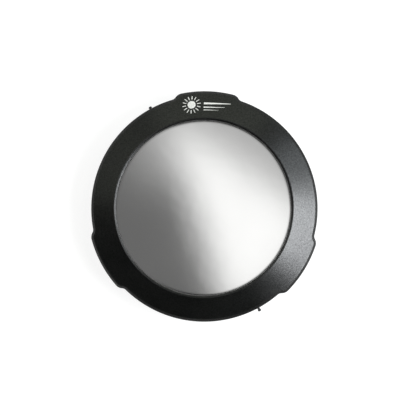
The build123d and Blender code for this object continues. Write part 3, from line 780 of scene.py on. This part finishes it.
def around(radius, degrees, height=0.0):
    """A point at a distance and a direction from the optical axis."""
    turn = math.radians(degrees)
    return Vector((radius * math.cos(turn), radius * math.sin(turn), height))


for number, post_turn, way in ((1, 120, 1), (2, 300, -1)):
    node = f"strap_{number}"
    low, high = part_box(node)
    bar_turn = post_turn + way * math.degrees(math.acos(POST_RADIUS / bar_radius))
    bar = around(bar_radius, bar_turn, low[2])
    out = around(1, bar_turn)
    along = way * Vector((-out.y, out.x, 0))
    # the angle round the bar where the straight from the neck just touches the loop
    neck_reach = math.hypot(NECK, LAYER_OFFSET)
    touch = math.atan2(LAYER_OFFSET, NECK) + math.acos(LOOP_RADIUS / neck_reach)
    neck_deg = math.degrees(NECK / bar_radius)
    length_deg = math.degrees(STRAP_LENGTH / bar_radius)
    sewn_deg = math.degrees(SEWN_BACK / bar_radius)

    tape = bmesh.new()
    free_end = around(bar_radius + LAYER_OFFSET, bar_turn + way * length_deg, low[2])
    last = bmesh.ops.spin(
        tape, geom=[tape.verts.new(free_end)], axis=(0, 0, 1), cent=(0, 0, 0),
        angle=-way * math.radians(length_deg - neck_deg), steps=RUN_STEPS,
    )["geom_last"]
    tip = [v for v in last if isinstance(v, bmesh.types.BMVert)]
    tip = bmesh.ops.extrude_vert_indiv(tape, verts=tip)["verts"]
    tip[0].co = bar + LOOP_RADIUS * (math.cos(touch) * along + math.sin(touch) * out)
    last = bmesh.ops.spin(
        tape, geom=tip, axis=(0, 0, 1), cent=bar, angle=-way * 2 * (math.pi - touch), steps=LOOP_STEPS
    )["geom_last"]
    tip = [v for v in last if isinstance(v, bmesh.types.BMVert)]
    tip = bmesh.ops.extrude_vert_indiv(tape, verts=tip)["verts"]
    tip[0].co = around(bar_radius - LAYER_OFFSET, bar_turn + way * neck_deg, low[2])
    bmesh.ops.spin(
        tape, geom=tip, axis=(0, 0, 1), cent=(0, 0, 0),
        angle=way * math.radians(sewn_deg - neck_deg), steps=RETURN_STEPS,
    )
    bmesh.ops.remove_doubles(tape, verts=tape.verts, dist=1e-6)

    # the distance along the tape is stored on its points, then carried across as it is widened
    distance = tape.verts.layers.float.new("distance")
    here, came_from, tape_length = min(tape.verts, key=lambda v: (v.co - free_end).length), None, 0.0
    while here is not None:
        here[distance] = tape_length
        onward = [e for e in here.link_edges if e is not came_from]
        if not onward:
            break
        came_from = onward[0]
        tape_length += came_from.calc_length()
        here = came_from.other_vert(here)
    wide = bmesh.ops.extrude_edge_only(tape, edges=tape.edges[:])["geom"]
    bmesh.ops.translate(
        tape, verts=[v for v in wide if isinstance(v, bmesh.types.BMVert)], vec=(0, 0, high[2] - low[2])
    )
    uprights = [e for e in tape.edges if abs(e.verts[0].co.z - e.verts[1].co.z) > 1e-4]
    bmesh.ops.subdivide_edges(tape, edges=uprights, cuts=CUTS_ACROSS, use_grid_fill=True)
    for vert in tape.verts:
        if vert[distance] < STRAP_LENGTH - SEWN_BACK:
            spot = Vector((vert[distance] / WAVE_ALONG, vert.co.z / WAVE_ACROSS, number))
            vert.co += TAPE_WAVE * noise.noise(spot) * vert.co.xy.normalized().to_3d()
    uv = tape.loops.layers.uv.new("tape")
    for face in tape.faces:
        for loop in face.loops:
            loop[uv].uv = (loop.vert[distance], loop.vert.co.z - low[2])
    tape = new_piece(f"loop_tape_{number}", tape, webbing)
    body = tape.modifiers.new("tape_thickness", "SOLIDIFY")
    body.thickness, body.offset = TAPE_THICKNESS, 0.0
    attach(tape, node)
    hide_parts(node)

    # the hook patch, inside the free end
    patch = bmesh.new()
    inner, outer = bar_radius - LAYER_OFFSET - PATCH_PROUD, bar_radius - PATCH_BURIED
    first = bar_turn + way * (length_deg - math.degrees(PATCH_FROM_END / bar_radius))
    corners = (
        (inner, low[2] + PATCH_MARGIN), (outer, low[2] + PATCH_MARGIN),
        (outer, high[2] - PATCH_MARGIN), (inner, high[2] - PATCH_MARGIN),
    )
    patch.faces.new([patch.verts.new(around(x, first, z)) for x, z in corners])
    bmesh.ops.spin(
        patch, geom=patch.faces[:] + patch.edges[:] + patch.verts[:], axis=(0, 0, 1), cent=(0, 0, 0),
        angle=-way * PATCH_LENGTH / bar_radius, steps=PATCH_STEPS,
    )
    patch = new_piece(f"hook_patch_{number}", patch, hook_nylon, smooth=False)
    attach(patch, node)

    # a box of stitches through both layers, and a row at each end of the hook patch
    stitches = bmesh.new()
    surface = bar_radius + LAYER_OFFSET + TAPE_THICKNESS / 2 + STITCH_LIFT
    rows = [((BOX_NEAR, height), (BOX_FAR, height), STITCHES_ALONG) for height in (ROW_LOW, ROW_HIGH)]
    rows += [((s, ROW_LOW), (s, ROW_HIGH), STITCHES_ACROSS) for s in (BOX_NEAR, BOX_FAR, *PATCH_ROWS)]
    for start, end, count in rows:
        for stitch in range(count):
            share = (stitch + 0.5) / count
            reach, height = (MM * (a + (b - a) * share) for a, b in zip(start, end))
            turn = bar_turn + way * math.degrees(reach / bar_radius)
            upright = start[0] == end[0]
            spot = (
                Matrix.Translation(around(surface, turn, low[2] + height))
                @ Matrix.Rotation(math.radians(turn), 4, "Z")
                @ Matrix.Rotation(math.radians(90 if upright else 0), 4, "X")
                @ STITCH_SHAPE
            )
            bmesh.ops.create_icosphere(stitches, subdivisions=1, radius=1, matrix=spot)
    stitches = new_piece(f"strap_stitching_{number}", stitches, sewing_thread)
    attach(stitches, node)
